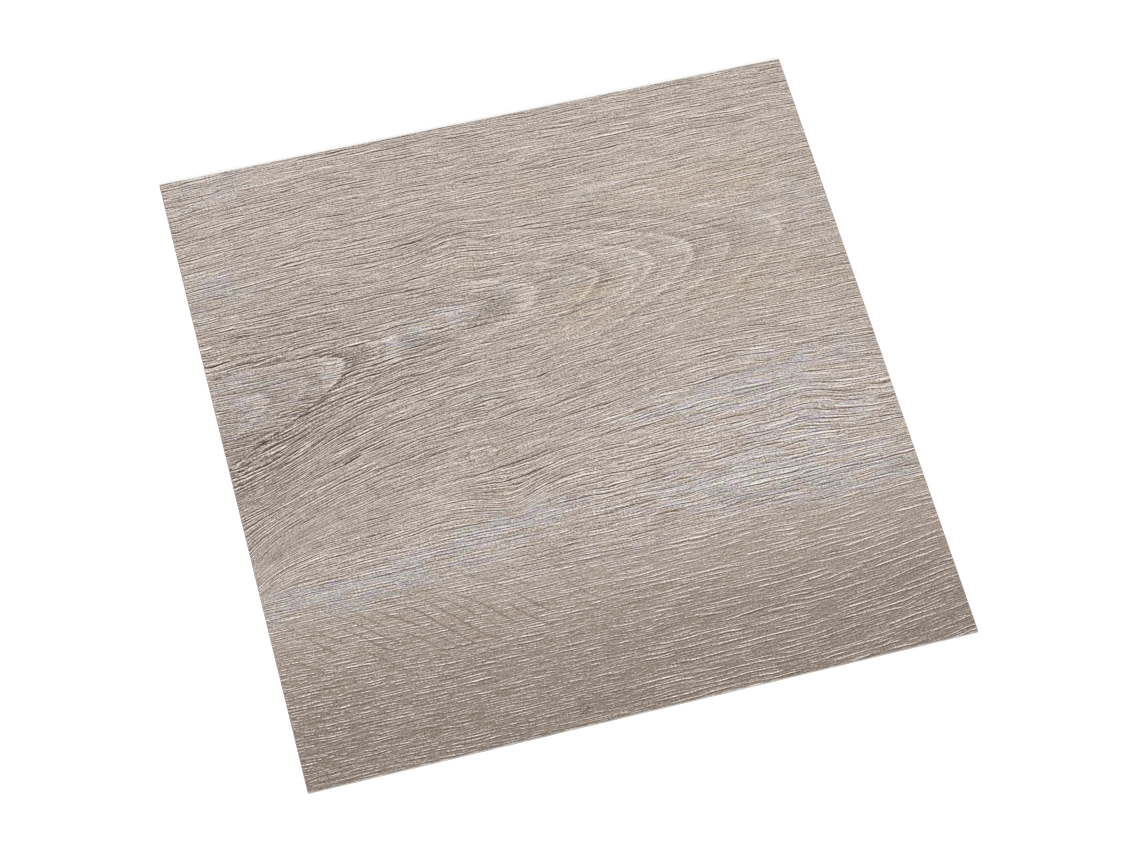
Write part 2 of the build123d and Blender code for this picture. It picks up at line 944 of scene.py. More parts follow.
@dataclass(frozen=True)
class TileSheet:
    """The calendered sheet: its outline and rim, and the mesh rows that follow the grain."""

    lines: FibreLines
    length: float = 305.0
    width: float = 305.0
    thickness: float = 1.5
    corner_radius: float = 0.5
    rim_radius: float = 0.2
    rim_steps: int = 4
    corner_steps: int = 3
    columns: int = 78
    rows: int = 1000
    edge_hold: float = 8.0

    def rim_insets(self) -> list[float]:
        """Finds the mesh lines that carry the rounded rim and the corners.

        Returns:
            Their distances in from the edge, in rising order.
        """
        quarter = math.pi / 2.0
        arc = [
            self.rim_radius * (1.0 - math.cos(quarter * (1.0 - step / self.rim_steps)))
            for step in range(self.rim_steps + 1)
        ]
        rounded = sorted(self.rim_radius - inset for inset in arc)
        left_over = self.corner_radius - self.rim_radius
        corner = [
            self.rim_radius + left_over * (step + 1) / self.corner_steps
            for step in range(self.corner_steps)
        ]
        return rounded + corner

    def stations(self, size: float, count: int) -> np.ndarray:
        """Places of the mesh lines over one side.

        Args:
            size: The side's length.
            count: The number of even steps between the two borders.

        Returns:
            The places, from the low edge to the high one.
        """
        insets = np.array(self.rim_insets())
        half = size / 2.0
        inner = np.linspace(-half + insets[-1], half - insets[-1], count + 1)[1:-1]
        return np.concatenate([-half + insets, inner, (half - insets)[::-1]])

    def rim_drop(self, inset: np.ndarray) -> np.ndarray:
        """How far the rim lies below the wear face, at a distance in from the edge."""
        short = np.clip(self.rim_radius - inset, 0.0, self.rim_radius)
        return self.rim_radius - np.sqrt(self.rim_radius**2 - short**2)

    def top_points(self) -> tuple[np.ndarray, np.ndarray]:
        """Places of the wear face's points, with rows that follow the grain.

        Returns:
            The points, by row and column, and each point's distance in from the edge.
        """
        along = self.stations(self.length, self.columns)
        line = self.stations(self.width, self.rows)
        flat_x, flat_y = np.meshgrid(along, line)
        hold = 1.0 - np.abs(flat_y / (self.width / 2.0)) ** self.edge_hold
        y = flat_y + hold * (self.lines.across(flat_x, flat_y) - flat_y)
        inset = np.minimum(self.length / 2.0 - np.abs(flat_x), self.width / 2.0 - np.abs(flat_y))
        inner = np.array([self.length, self.width]) / 2.0 - self.corner_radius
        core_x = np.clip(flat_x, -inner[0], inner[0])
        core_y = np.clip(y, -inner[1], inner[1])
        off_x = flat_x - core_x
        off_y = y - core_y
        far = np.hypot(off_x, off_y)
        reach = np.maximum(np.abs(off_x), np.abs(off_y))
        share = np.where(far > 0.0, reach / np.maximum(far, TINY_MM), 1.0)
        x = core_x + off_x * share
        y = core_y + off_y * share
        z = self.thickness - self.rim_drop(inset)
        return np.stack([x, y, z], axis=-1), inset

    def mesh(self, name: str) -> bpy.types.Mesh:
        """Builds the closed flat sheet with its attributes.

        Args:
            name: The mesh's name.

        Returns:
            The mesh, in metres.
        """
        top, inset = self.top_points()
        rows, columns = inset.shape
        index = np.arange(rows * columns).reshape(rows, columns)
        ring = self.border(index)
        low = top.reshape(-1, 3)[ring].copy()
        low[:, 2] = 0.0
        points = np.concatenate([top.reshape(-1, 3), low]) * MM
        below = {int(high): rows * columns + place for place, high in enumerate(ring)}
        quads = np.stack(
            [index[:-1, :-1], index[:-1, 1:], index[1:, 1:], index[1:, :-1]], axis=-1
        ).reshape(-1, 4)
        faces: list[tuple[int, ...]] = [tuple(int(i) for i in quad) for quad in quads]
        top_count = len(faces)
        for place, high in enumerate(ring):
            after = int(ring[(place + 1) % len(ring)])
            faces.append((int(high), below[int(high)], below[after], after))
        faces.extend(self.underside(index, below))
        mesh = bpy.data.meshes.new(name)
        mesh.from_pydata(points.tolist(), [], faces)
        self.dress(mesh, top, inset, top_count, len(ring))
        return mesh

    @staticmethod
    def border(index: np.ndarray) -> np.ndarray:
        """Lists the top points round the edge, anticlockwise from above."""
        return np.concatenate(
            [index[0, :-1], index[:-1, -1], index[-1, :0:-1], index[:0:-1, 0]]
        )

    @staticmethod
    def underside(index: np.ndarray, below: dict[int, int]) -> list[tuple[int, ...]]:
        """Closes the flat back with long strips, and fans at its two ends.

        Args:
            index: The top points' numbers, by row and column.
            below: The low point under each top point of the edge.

        Returns:
            The faces, facing down.
        """
        front = [below[int(i)] for i in index[0]]
        back = [below[int(i)] for i in index[-1]]
        left = [below[int(i)] for i in index[:, 0]]
        right = [below[int(i)] for i in index[:, -1]]
        faces: list[tuple[int, ...]] = []
        for column in range(1, len(front) - 2):
            faces.append((front[column], back[column], back[column + 1], front[column + 1]))
        middle = len(left) // 2
        for row in range(len(left) - 1):
            near = row < middle
            faces.append((left[row], left[row + 1], front[1] if near else back[1]))
            faces.append((right[row + 1], right[row], front[-2] if near else back[-2]))
        faces.append((left[middle], back[1], front[1]))
        faces.append((right[middle], front[-2], back[-2]))
        return faces

    def dress(
        self,
        mesh: bpy.types.Mesh,
        top: np.ndarray,
        inset: np.ndarray,
        top_count: int,
        wall_count: int,
    ) -> None:
        """Gives the mesh its grain coordinates, its face marks and its smooth faces.

        Args:
            mesh: The mesh.
            top: The wear face's points, by row and column; not used.
            inset: Each top point's distance in from the edge.
            top_count: How many faces the wear face and its rim have.
            wall_count: How many faces the walls have.
        """
        count = len(mesh.vertices)
        place = np.empty(count * 3)
        mesh.vertices.foreach_get("co", place)
        place = place.reshape(-1, 3) / MM
        line = self.lines.line_at(place[:, 0], place[:, 1])
        grain = np.stack([place[:, 0], line, np.zeros(count)], axis=-1)
        mesh.attributes.new("grain", "FLOAT_VECTOR", "POINT").data.foreach_set(
            "vector", grain.ravel()
        )
        share = np.zeros(count)
        share[: inset.size] = 1.0
        mesh.attributes.new("pressed_share", "FLOAT", "POINT").data.foreach_set("value", share)
        printed = np.zeros(len(mesh.polygons), dtype=bool)
        flat = inset >= self.rim_radius - TINY_MM
        whole = flat[:-1, :-1] & flat[:-1, 1:] & flat[1:, 1:] & flat[1:, :-1]
        printed[:top_count] = whole.ravel()
        mesh.attributes.new("wear_face", "BOOLEAN", "FACE").data.foreach_set("value", printed)
        smooth = np.zeros(len(mesh.polygons), dtype=bool)
        smooth[: top_count + wall_count] = True
        mesh.polygons.foreach_set("use_smooth", smooth)
        on_floor = place[:, 2] < TINY_MM
        ends = np.empty(len(mesh.edges) * 2, dtype=int)
        mesh.edges.foreach_get("vertices", ends)
        sharp = on_floor[ends.reshape(-1, 2)].all(axis=1)
        mesh.attributes.new("sharp_edge", "BOOLEAN", "EDGE").data.foreach_set("value", sharp)
        mesh.update()

    def build(self, name: str) -> bpy.types.Object:
        """Makes the sheet's object at the origin."""
        return placed(name, self.mesh(name))


@dataclass(frozen=True)
class Patch:
    """A soft-edged place on the print, in millimetres, and how much it counts."""

    centre: tuple[float, float]
    reach: tuple[float, float]
    amount: float = 1.0


@dataclass(frozen=True)
class Ring:
    """A pale growth ring and the dark wood just outside it.

    The ring has the place of its apex, its paleness, its width inwards, and the darkness and
    the width of the wood outside it.
    """

    apex: float
    light: float
    width: float = 2.0
    dark: float = 0.3
    dark_width: float = 8.0


@dataclass(frozen=True)
class Inked:
    """How one layer, of printed pores or of the painted shade and highlight beside them, is drawn:
    its raise across the grain, and its gain by zone.
    """

    layer: PoreLayer
    raise_by: float
    upper_left: float
    upper_right: float
    lower_left: float
    lower_right: float


@dataclass(frozen=True)
class Hatch:
    """Broken lines at an angle to the grain, in degrees anticlockwise from X, within an area."""

    turn: float
    rows: Rows
    area: tuple[Patch, ...]
    gain: float


@dataclass(frozen=True)
class Tint:
    """How far each channel of a tint lies from the wood tone's own red."""

    red: float
    green: float
    blue: float


class PrintTree(Wiring):
    """The wear face's shader tree, with the places that its printed layers are drawn on."""

    # how far the two ragged places are pushed, and the noise that pushes them
    near_cells: Cells = Cells(7.0, 1.3, 2.0)
    near_reach: tuple[float, float] = (14.0, 3.0)
    loose_cells: Cells = Cells(24.0, 6.0, 2.0)
    loose_reach: tuple[float, float] = (40.0, 14.0)
    # where the left of the face gives way to its right, and the rest to the front band
    right_zone: Slope = Slope(-50.0, 60.0)
    lower_zone: Slope = Slope(-62.0, -92.0)
    grit_cells: Cells = Cells(0.9, 0.45, 1.0)
    # from a ring's line to its edge, and from a ring's crest to the darkest wood outside it
    line_half_width: float = 1.0
    ring_edge: float = 1.2
    # the strongest level that the lines and the rings may have
    line_level: float = 1.0
    ring_level: float = 1.5

    def __init__(self, tree: bpy.types.NodeTree, figure: OakFigure) -> None:
        """Finds the places: true, along the fibres, and two ragged ones for soft patches.

        Args:
            tree: The material's empty tree.
            figure: The figure that the print shares with the embossing.
        """
        super().__init__(tree)
        self.figure = figure
        where = self.put("ShaderNodeTexCoord").outputs["Object"]
        self.place = self.vector("MULTIPLY", where, FLAT_MM)
        self.grain = self.put("ShaderNodeAttribute", attribute_name="grain").outputs["Vector"]
        flow = self.use(figure.fibre_group(TreeKind.SHADER), Place=self.place, Grain=self.grain)
        self.fibre = flow.outputs["Fibre"]
        self.tongue_ring = flow.outputs["Tongue Ring"]
        self.stroke_tree = figure.stroke_group(TreeKind.SHADER)
        self.row_tree = figure.row_group(TreeKind.SHADER)
        self.patch_tree = self.patch_group()
        self.ragged = self.fibred(self.near_cells)
        self.near = self.pushed(self.ragged, self.near_reach)
        self.loose = self.pushed(self.spread(self.place, self.loose_cells), self.loose_reach)
        along, self.across, _ = self.split(self.loose)
        self.right = self.sloped(along, self.right_zone)
        self.lower = self.sloped(self.across, self.lower_zone)
        self.grit = self.fibred(self.grit_cells)

    @staticmethod
    def patch_group() -> bpy.types.NodeTree:
        """Builds the group that adds one soft patch to a sum.

        Returns:
            The group, from a place and a sum to the new sum.
        """
        vector = SocketKind.VECTOR
        number = SocketKind.NUMBER
        group = Group(
            "soft patch",
            TreeKind.SHADER,
            {"Place": vector, "Centre": vector, "Reach": vector, "Amount": number, "Sum": number},
            {"Sum": number},
        )
        given = group.given
        offset = group.vector("SUBTRACT", given["Place"], given["Centre"])
        share = group.vector("DIVIDE", offset, given["Reach"])
        mask = group.math("POWER", math.exp(-1.0), group.vector("DOT_PRODUCT", share, share))
        added = group.put("ShaderNodeMath", operation="MULTIPLY_ADD")
        for socket, value in zip(added.inputs, (mask, given["Amount"], given["Sum"])):
            group.feed(socket, value)
        group.feed(group.result["Sum"], added.outputs[0])
        return group.tree

    def pushed(self, by: Socket, reach: tuple[float, float]) -> Socket:
        """The place, pushed along and across the tile by a number times the reach."""
        push = self.combine(self.times(by, reach[0]), self.times(by, reach[1]))
        return self.vector("ADD", self.place, push)

    def fibred(self, cells: Cells) -> Socket:
        """Noise around 0 that is drawn out along the fibres."""
        return self.spread(self.fibre, cells)

    def strokes(self, layer: PoreLayer, raise_by: float = 0.0) -> Socket:
        """Draws one layer of pores.

        Args:
            layer: The layer.
            raise_by: How far it is raised across the grain.

        Returns:
            The mask.
        """
        sizes = self.figure.sizes(layer)
        if isinstance(sizes, Rows):
            values = self.figure.row_values(sizes, raise_by)
            return self.use(self.row_tree, Fibre=self.fibre, **values).outputs[0]
        values = self.figure.stroke_values(sizes, raise_by)
        return self.use(self.stroke_tree, Fibre=self.fibre, **values).outputs[0]

    def hatched(self, hatch: Hatch) -> Socket:
        """Draws a hatch.

        Args:
            hatch: The hatch.

        Returns:
            The mask, held to the hatch's area.
        """
        turn = math.radians(hatch.turn)
        along = (math.cos(turn), math.sin(turn), 0.0)
        across = (-along[1], along[0], 0.0)
        turned = self.combine(
            self.vector("DOT_PRODUCT", self.place, along),
            self.vector("DOT_PRODUCT", self.place, across),
        )
        lines = self.use(self.row_tree, Fibre=turned, **self.figure.row_values(hatch.rows))
        return self.times(lines.outputs[0], self.patches(self.place, hatch.area))

    def patches(self, place: Value, patches: tuple[Patch, ...]) -> Socket:
        """Adds up a family of patches.

        Args:
            place: The place, in millimetres.
            patches: The patches.

        Returns:
            The sum of the masks, each times its amount.
        """
        result: Value = 0.0
        for patch in patches:
            result = self.use(
                self.patch_tree,
                Place=place,
                Centre=(*patch.centre, 0.0),
                Reach=(*patch.reach, 1.0),
                Amount=patch.amount,
                Sum=result,
            ).outputs[0]
        return result

    def ramp(
        self, value: Socket, stops: list[tuple[float, tuple[float, float, float, float]]]
    ) -> Socket:
        """Runs a colour ramp through the given stops.

        Args:
            value: The place on the ramp.
            stops: Places and colours, in rising order.

        Returns:
            The colour.
        """
        node = self.put("ShaderNodeValToRGB")
        elements = node.color_ramp.elements
        while len(elements) < len(stops):
            elements.new(1.0)
        for element, (position, colour) in zip(elements, stops):
            element.position = position
            element.color = colour
        self.feed(node.inputs[0], value)
        return node.outputs[0]

    def levels(self, value: Socket, stops: list[tuple[float, float]], reach: float) -> Socket:
        """A number that follows the given stops, as a ramp of greys.

        Args:
            value: The place along the stops.
            stops: Places and levels, in rising order.
            reach: The largest level that the ramp has to hold.

        Returns:
            The level.
        """
        low = stops[0][0]
        high = stops[-1][0]
        share = self.over(self.minus(value, low), high - low)
        greys = []
        for place, level in stops:
            grey = 0.5 + 0.5 * level / reach
            greys.append(((place - low) / (high - low), (grey, grey, grey, 1.0)))
        return self.times(self.minus(self.ramp(share, greys), 0.5), 2.0 * reach)

    def thin_rings(self, place: Socket, lines: tuple[tuple[float, float], ...]) -> Socket:
        """Thin lines along chosen rings.

        Args:
            place: The ring that a place lies on.
            lines: The rings and the lightness of the line on each, in rising order.

        Returns:
            The lightness, from -1 to 1.
        """
        stops: list[tuple[float, float]] = []
        for ring, light in lines:
            stops.append((ring - self.line_half_width, 0.0))
            stops.append((ring, light))
            stops.append((ring + self.line_half_width, 0.0))
        return self.levels(place, stops, self.line_level)

    def rings(self, place: Socket, rings: tuple[Ring, ...]) -> Socket:
        """Pale rings with a sharp outer edge, and darker wood just outside each.

        Args:
            place: The ring that a place lies on.
            rings: The pale rings, in rising order and clear of each other.

        Returns:
            The lightness, from -1 to 1.
        """
        stops: list[tuple[float, float]] = []
        for ring in rings:
            stops.append((ring.apex - ring.width, 0.0))
            stops.append((ring.apex, ring.light))
            stops.append((ring.apex + self.ring_edge, -ring.dark))
            stops.append((ring.apex + self.ring_edge + ring.dark_width, 0.0))
        return self.levels(place, stops, self.ring_level)


@dataclass(frozen=True)
class PorePrint:
    """The printed pores, each a dark or pale core with an edge of the other, and their flecks. The
    edges are painted shade in front of pale cores and painted highlight in front of dark cores.
    """

    # each layer's raise, then its gains above at the left and right, and in front at both
    pore_inks_and_painted_light: tuple[Inked, ...] = (
        # long rows: pale printed pores raised onto the far wall of the pressed groove, partly painted
        # highlight, then painted shade on its near wall
        Inked(PoreLayer.LONG, 0.25, 0.16, 0.22, 0.13, 0.32),
        Inked(PoreLayer.LONG, -0.22, -0.08, -0.12, -0.08, -0.17),
        # short rows: pale printed pores above the bumped pore, partly painted highlight, then painted
        # shade in front of it
        Inked(PoreLayer.SHORT, 0.20, 0.17, 0.14, 0.29, 0.20),
        Inked(PoreLayer.SHORT, -0.18, -0.14, -0.10, -0.17, -0.14),
        # dark rows: dark printed pores, then a painted highlight in front of each
        Inked(PoreLayer.DARK, 0.0, -0.42, -0.32, -0.07, -0.10),
        Inked(PoreLayer.DARK, -0.38, 0.22, 0.20, 0.04, 0.05),
        # deep rows: dark printed pores, then a painted highlight in front of each
        Inked(PoreLayer.DEEP, 0.0, -0.42, -0.38, -0.08, -0.08),
        Inked(PoreLayer.DEEP, -0.42, 0.24, 0.20, 0.03, 0.04),
        # fine strokes: pale printed strokes, then painted shade in front of each
        Inked(PoreLayer.FINE, 0.25, 0.05, 0.04, 0.03, 0.03),
        Inked(PoreLayer.FINE, -0.10, -0.05, -0.05, -0.03, -0.03),
    )
    # how strongly the grit beads the pores, on the face and on its front band
    beading: tuple[float, float] = (0.6, 2.1)
    # long flecks across the grain of the front band, and how much of a pore one covers
    flecks: Hatch = Hatch(
        turn=-39.0,
        rows=Rows(22.0, 5.2, 0.9, 0.42, 2.6),
        area=(
            Patch((-118.0, -88.0), (42.0, 18.0), 0.8),
            Patch((-50.0, -90.0), (55.0, 22.0), 0.9),
        ),
        gain=-0.10,
    )
    fleck_cover: float = 0.9

    def inked(self, wires: PrintTree, ink: Inked) -> Socket:
        """Draws one layer, printed pores or their painted shade and highlight, with the gains of the
        four zones.

        Args:
            wires: The wear face's tree.
            ink: The layer, and how it is printed.

        Returns:
            The lightness that the layer adds.
        """
        upper_gain = wires.between(wires.right, ink.upper_left, ink.upper_right)
        lower_gain = wires.between(wires.right, ink.lower_left, ink.lower_right)
        gain = wires.between(wires.lower, upper_gain, lower_gain)
        return wires.times(wires.strokes(ink.layer, ink.raise_by), gain)

    def lightness(self, wires: PrintTree) -> tuple[Socket, Socket]:
        """Prints the pores with their painted shade and highlight edges, and the oblique flecks that
        break them.

        Args:
            wires: The wear face's tree.

        Returns:
            The lightness of the pores, and of the flecks.
        """
        flecks = wires.hatched(self.flecks)
        layers = wires.total([self.inked(wires, ink) for ink in self.pore_inks_and_painted_light])
        beads = wires.plus(wires.times(wires.grit, wires.between(wires.lower, *self.beading)), 1.0)
        broken = wires.times(beads, wires.minus(1.0, wires.times(flecks, self.fleck_cover)))
        return wires.times(layers, broken), wires.times(flecks, self.flecks.gain)


@dataclass(frozen=True)
class ArchPrint:
    """The pale growth rings of the cathedral and of the tongue, and fine lines along them."""

    # the gains of the rings and of the lines
    cathedral_gains: tuple[float, float] = (0.115, 0.155)
    tongue_gains: tuple[float, float] = (0.15, 0.16)
    # how ragged the rings are: the noise, and how far it moves a ring
    cathedral_tears: Cells = Cells(7.0, 0.9, 1.0)
    cathedral_reach: float = 7.0
    tongue_reach: float = 9.0
    cathedral_area: Patch = Patch((52.0, 59.0), (118.0, 50.0))
    cathedral_rings: tuple[Ring, ...] = (
        Ring(-22.0, 0.1, 4.0, 0.9, 11.0),
        Ring(5.0, 1.0, 10.0, 0.3, 9.0),
        Ring(35.0, 0.7, 5.0, 0.6, 11.0),
        Ring(53.0, 0.6, 3.0, 0.1, 2.0),
        Ring(62.0, 0.9, 4.0, 0.3, 8.0),
        Ring(82.0, 0.8, 5.0, 0.7, 11.0),
        Ring(100.0, 0.5, 3.0, 0.6, 14.0),
        Ring(126.0, 0.7, 5.0, 0.3, 6.0),
    )
    cathedral_lines: tuple[tuple[float, float], ...] = (
        (5.0, 1.0),
        (22.5, 0.6),
        (34.5, 1.0),
        (43.5, 0.5),
        (53.0, 0.7),
        (61.0, 0.8),
        (70.0, 0.5),
        (81.5, 0.7),
        (99.5, 0.6),
        (125.5, 0.6),
    )
    tongue_area: Patch = Patch((-108.0, 32.0), (64.0, 28.0))
    tongue_rings: tuple[Ring, ...] = (
        Ring(-60.0, 0.5, 8.0, 0.5, 5.0),
        Ring(-38.0, 0.7, 7.0, 0.6, 6.0),
        Ring(-17.0, 0.5, 5.0, 0.4, 5.0),
        Ring(2.4, 1.0, 4.0, 1.5, 7.5),
        Ring(20.5, 0.9, 6.5, 0.5, 6.0),
    )
    tongue_lines: tuple[tuple[float, float], ...] = ((4.2, -0.8), (19.0, 0.6))

    @staticmethod
    def family(
        wires: PrintTree,
        place: Socket,
        area: Patch,
        rings: tuple[Ring, ...],
        lines: tuple[tuple[float, float], ...],
        gains: tuple[float, float],
    ) -> Socket:
        """Prints one family of rings within its area.

        Args:
            wires: The wear face's tree.
            place: The ring that a place lies on.
            area: The area.
            rings: The pale rings.
            lines: The thin lines.
            gains: The gains of the rings and of the lines.

        Returns:
            The lightness that the family adds.
        """
        both = wires.plus(
            wires.times(wires.rings(place, rings), gains[0]),
            wires.times(wires.thin_rings(place, lines), gains[1]),
        )
        return wires.times(both, wires.patches(wires.place, (area,)))

    def lightness(self, wires: PrintTree) -> Socket:
        """Prints both families.

        Args:
            wires: The wear face's tree.

        Returns:
            The lightness that the rings add.
        """
        figure = wires.figure
        ring = wires.use(
            figure.arch_group(TreeKind.SHADER),
            Place=wires.place,
            **figure.arch_values(figure.cathedral),
        ).outputs["Ring"]
        torn = wires.times(wires.fibred(self.cathedral_tears), self.cathedral_reach)
        cathedral = self.family(
            wires,
            wires.plus(ring, torn),
            self.cathedral_area,
            self.cathedral_rings,
            self.cathedral_lines,
            self.cathedral_gains,
        )
        tongue = self.family(
            wires,
            wires.plus(wires.tongue_ring, wires.times(wires.ragged, self.tongue_reach)),
            self.tongue_area,
            self.tongue_rings,
            self.tongue_lines,
            self.tongue_gains,
        )
        return wires.plus(cathedral, tongue)


@dataclass(frozen=True)
class SmallMarks:
    """The fine comb lines, the rings of the small eyes, the ticks and rays, and the specks."""

    comb_pitch: float = 1.50
    comb_sway: Cells = Cells(40.0, 9.0, 1.0)
    comb_reach: float = 1.2
    comb_breaks: Cells = Cells(16.0, 2.5)
    comb_held: Slope = Slope(-0.18, 0.0, 0.1, 1.0)
    # the comb's gain in its patches, and on the rest of the face
    comb_gains: tuple[float, float] = (0.11, 0.03)
    # where the comb shows, on the near place
    combed: tuple[Patch, ...] = (
        Patch((-45.0, -54.0), (36.0, 9.0), 1.3),
        Patch((-105.0, -66.0), (55.0, 9.0), 0.8),
        Patch((90.0, -34.0), (60.0, 26.0), 0.35),
        Patch((-70.0, 14.0), (46.0, 18.0), 0.9),
        Patch((-115.0, -12.0), (34.0, 22.0), 0.8),
        Patch((-130.0, 13.0), (14.0, 6.0), 1.0),
        Patch((-113.0, 21.0), (14.0, 6.0), 1.0),
        Patch((-96.0, 30.0), (12.0, 5.0), 0.8),
        Patch((-144.0, -4.0), (16.0, 14.0), 0.9),
        Patch((-140.0, -50.0), (18.0, 12.0), 0.9),
    )
    # the small eyes, whose masks make the height that their rings follow
    eyes: tuple[Patch, ...] = (
        Patch((-40.0, -16.4), (7.4, 3.8), 1.0),
        Patch((-34.0, 6.0), (7.0, 3.6), 0.7),
        Patch((-35.0, -33.5), (4.0, 2.4), 0.9),
        Patch((116.0, -43.0), (6.0, 4.0), 0.8),
        Patch((-12.0, 52.0), (9.0, 6.0), 0.5),
    )
    # how fast the eyes' rings follow each other, where they start, and where they fade in
    eye_rate: float = 9.7
    eye_start: float = 1.33
    eye_fade: Slope = Slope(0.12, 0.30)
    eye_gain: float = 0.055
    # dark ticks under the small knot, dark marks at the branch on the left, and its pale rays
    hatches: tuple[Hatch, ...] = (
        Hatch(
            turn=27.0,
            rows=Rows(5.0, 2.3, 0.45, 0.40, 1.2),
            area=(
                Patch((-38.0, -31.0), (8.0, 2.2), 1.0),
                Patch((-20.0, -29.5), (8.0, 2.0), 0.7),
            ),
            gain=-0.20,
        ),
        Hatch(
            turn=14.0,
            rows=Rows(3.4, 1.35, 0.50, 0.42, 3.3),
            area=(
                Patch((-143.0, -5.0), (13.0, 13.0), 1.0),
                Patch((-120.0, 6.0), (24.0, 9.0), 0.4),
            ),
            gain=-0.26,
        ),
        Hatch(
            turn=31.0,
            rows=Rows(16.0, 2.0, 0.40, 0.44, 0.7),
            area=(
                Patch((-145.0, 0.0), (11.0, 9.0), 1.0),
                Patch((-136.0, 7.0), (10.0, 6.0), 0.6),
            ),
            gain=0.28,
        ),
    )
    # a speck in each cell of this size whose chance is high enough, with its radius and fade
    speck_cell: float = 4.5
    speck_chance: float = 0.76
    speck_fade: Slope = Slope(0.05, 0.10, 1.0, 0.0)
    speck_area: Patch = Patch((20.0, 40.0), (90.0, 60.0), 0.34)

    def comb(self, wires: PrintTree) -> Socket:
        """Draws evenly spaced fine lines, strongest where the wood is hazed.

        Args:
            wires: The wear face's tree.

        Returns:
            The lightness that they add.
        """
        sway = wires.times(wires.fibred(self.comb_sway), self.comb_reach)
        line = wires.plus(wires.split(wires.grain)[1], sway)
        wave = wires.math("SINE", wires.times(line, math.tau / self.comb_pitch))
        held = wires.sloped(wires.fibred(self.comb_breaks), self.comb_held)
        patched, everywhere = self.comb_gains
        gain = wires.plus(
            wires.times(wires.patches(wires.near, self.combed), patched), everywhere
        )
        return wires.times(wires.times(wave, held), gain)

    def eye_rings(self, wires: PrintTree) -> Socket:
        """Draws the rings round the small eyes, as waves in the sum of their masks.

        Args:
            wires: The wear face's tree.

        Returns:
            The lightness that they add.
        """
        height = wires.patches(wires.place, self.eyes)
        phase = wires.plus(wires.times(height, self.eye_rate), self.eye_start)
        wave = wires.times(wires.math("SINE", phase), wires.sloped(height, self.eye_fade))
        return wires.times(wave, self.eye_gain)

    def specks(self, wires: PrintTree) -> Socket:
        """Draws sparse pale specks, one in some cells of a scattered grid.

        Args:
            wires: The wear face's tree.

        Returns:
            The lightness that they add.
        """
        cells = wires.put("ShaderNodeTexVoronoi", voronoi_dimensions="2D", feature="F1")
        wires.feed(cells.inputs["Vector"], wires.place)
        wires.feed(cells.inputs["Scale"], 1.0 / self.speck_cell)
        dots = wires.sloped(cells.outputs["Distance"], self.speck_fade)
        chance = wires.split(cells.outputs["Color"])[0]
        chosen = wires.math("GREATER_THAN", chance, self.speck_chance)
        area = wires.patches(wires.place, (self.speck_area,))
        return wires.times(wires.times(dots, chosen), area)

    def lightness(self, wires: PrintTree) -> Socket:
        """Draws all the small marks.

        Args:
            wires: The wear face's tree.

        Returns:
            The lightness that they add.
        """
        hatches = [wires.times(wires.hatched(hatch), hatch.gain) for hatch in self.hatches]
        return wires.total([self.comb(wires), self.eye_rings(wires), self.specks(wires), *hatches])


